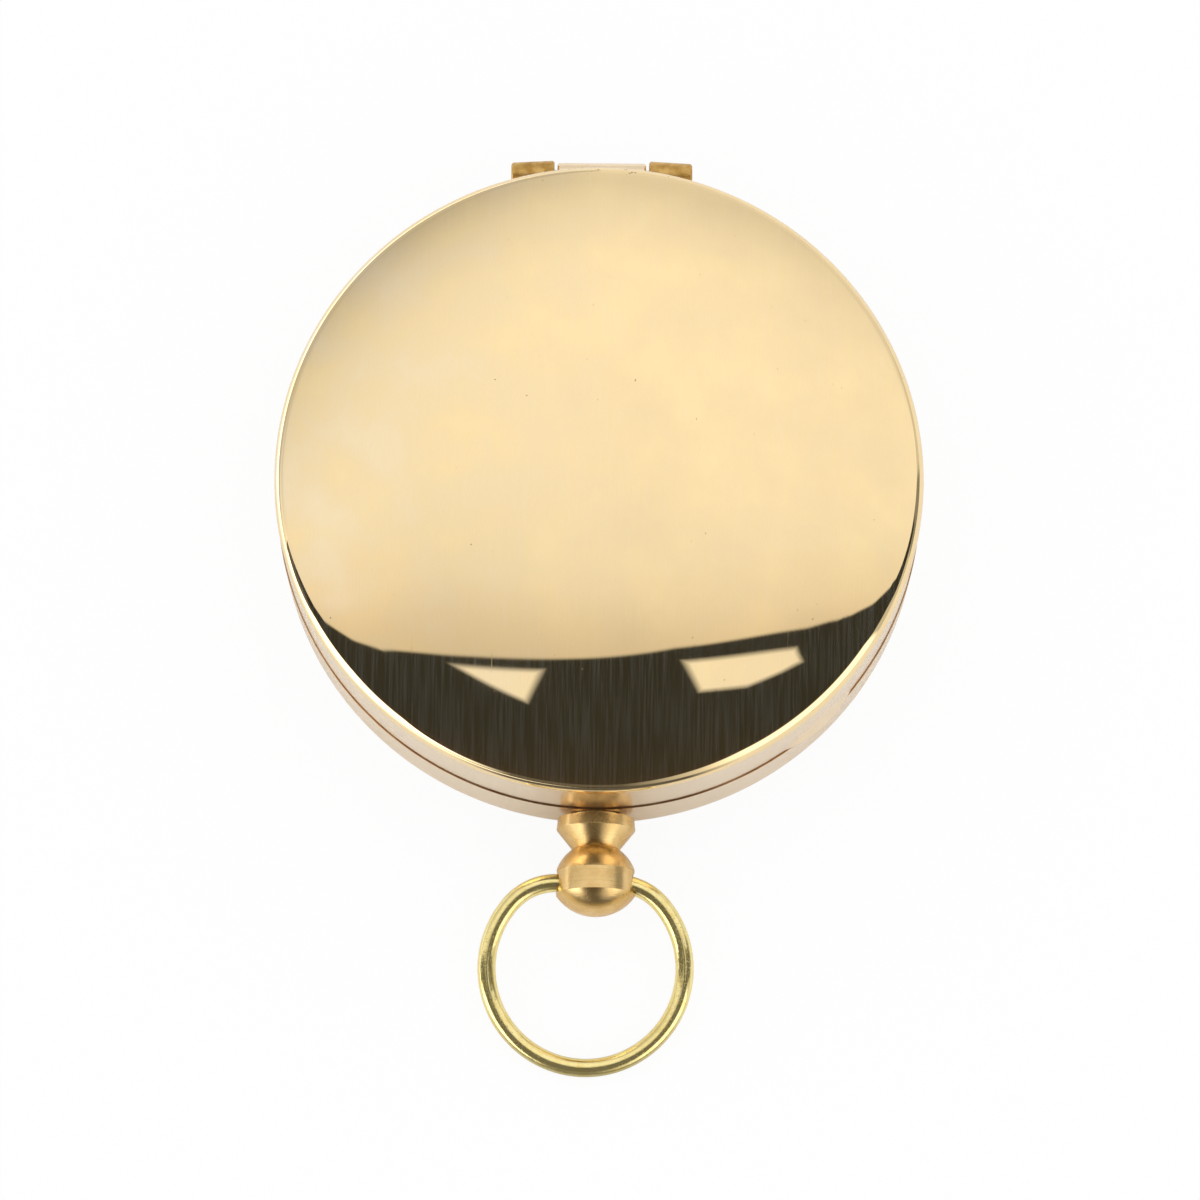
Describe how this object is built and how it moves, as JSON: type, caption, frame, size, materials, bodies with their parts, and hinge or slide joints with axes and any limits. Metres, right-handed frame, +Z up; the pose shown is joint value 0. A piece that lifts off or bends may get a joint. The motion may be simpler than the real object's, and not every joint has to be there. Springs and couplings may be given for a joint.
{
  "type": "pocket compass",
  "caption": "Round brass pocket compass: a domed lid hinged on a turned case, a ball pendant with a swinging ring, and a magnetic needle over a dial under glass.",
  "frame": {"origin": "middle of the case's flat bottom face", "axes": "+Z up through the lid, +Y towards the hinge, -Y towards the pendant and its ring"},
  "size_m": [0.0554, 0.0801, 0.0165],
  "materials": {
    "polished_brass": "polished",
    "raw_brass": "dull, unpolished",
    "turned_brass": "satin, turned",
    "drawn_brass": "bright drawn wire",
    "dial_enamel": "matt enamel with printed marks",
    "degree_enamel": "matt enamel with printed marks",
    "needle_paint": "lacquered steel",
    "steel": "ground",
    "seal_rubber": "matt",
    "clear_glass": "clear",
    "bearing_stone": "polished stone"
  },
  "bodies": {
    "case": {"case_body": "polished_brass", "case_knuckle_left": "raw_brass", "case_knuckle_right": "raw_brass", "hinge_pin": "steel", "pendant_collar": "turned_brass", "pendant_ball": "turned_brass", "dial_plate": "dial_enamel", "pivot_bush": "turned_brass", "pivot_pin": "steel", "degree_ring": "degree_enamel", "crystal_gasket": "seal_rubber", "crystal": "clear_glass", "bezel_ring": "turned_brass"},
    "lid": {"lid_cover": "polished_brass", "lid_knuckle": "polished_brass"},
    "needle": {"needle_blade": "needle_paint", "needle_cap": "turned_brass", "jewel_cup": "bearing_stone", "balance_clip": "turned_brass"},
    "bail": {"bail_ring": "drawn_brass"}
  },
  "joints": [
    {"name": "lid_hinge", "type": "hinge", "parent": "case", "child": "lid", "pos_m": [0, 0.02905, 0.0057], "axis": [-1, 0, 0], "range_deg": [0, 150]},
    {"name": "bail_swing", "type": "hinge", "parent": "case", "child": "bail", "pos_m": [0, -0.03357, 0.00345], "axis": [-1, 0, 0], "range_deg": [-135, 130]},
    {"name": "needle_spin", "type": "hinge", "parent": "case", "child": "needle", "pos_m": [0, 0, 0.00427], "axis": [0, 0, 1], "continuous": true}
  ]
}
